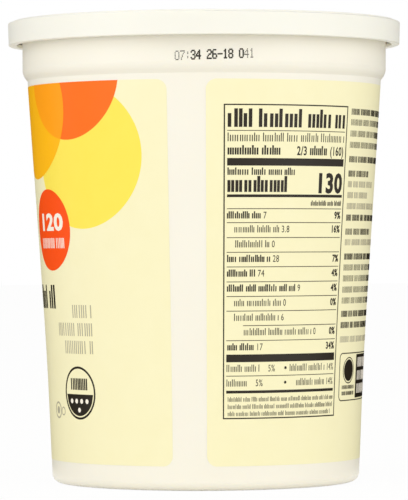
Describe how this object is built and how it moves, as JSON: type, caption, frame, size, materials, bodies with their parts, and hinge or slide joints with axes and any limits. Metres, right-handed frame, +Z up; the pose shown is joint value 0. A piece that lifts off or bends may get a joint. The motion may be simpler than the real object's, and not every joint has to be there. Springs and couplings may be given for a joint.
{
  "type": "yogurt pot",
  "caption": "Shut family-size plastic yogurt pot: tapered printed tub with a stepped shoulder and a press-on cap with a stacking recess.",
  "frame": {"origin": "centre of the base, on the surface that the pot stands on", "axes": "+Z up the pot's axis from base to cap; -Y towards the viewer, the side that carries the table of figures; +X to that viewer's right"},
  "size_m": [0.1178, 0.1178, 0.1382],
  "materials": {
    "tub": "injection-moulded off-white polypropylene, printed in pale yellow, satin gloss",
    "cap": "injection-moulded off-white polyethylene, satin"
  },
  "bodies": {
    "root": {"tub": "tub", "cap": "cap"}
  },
  "joints": []
}
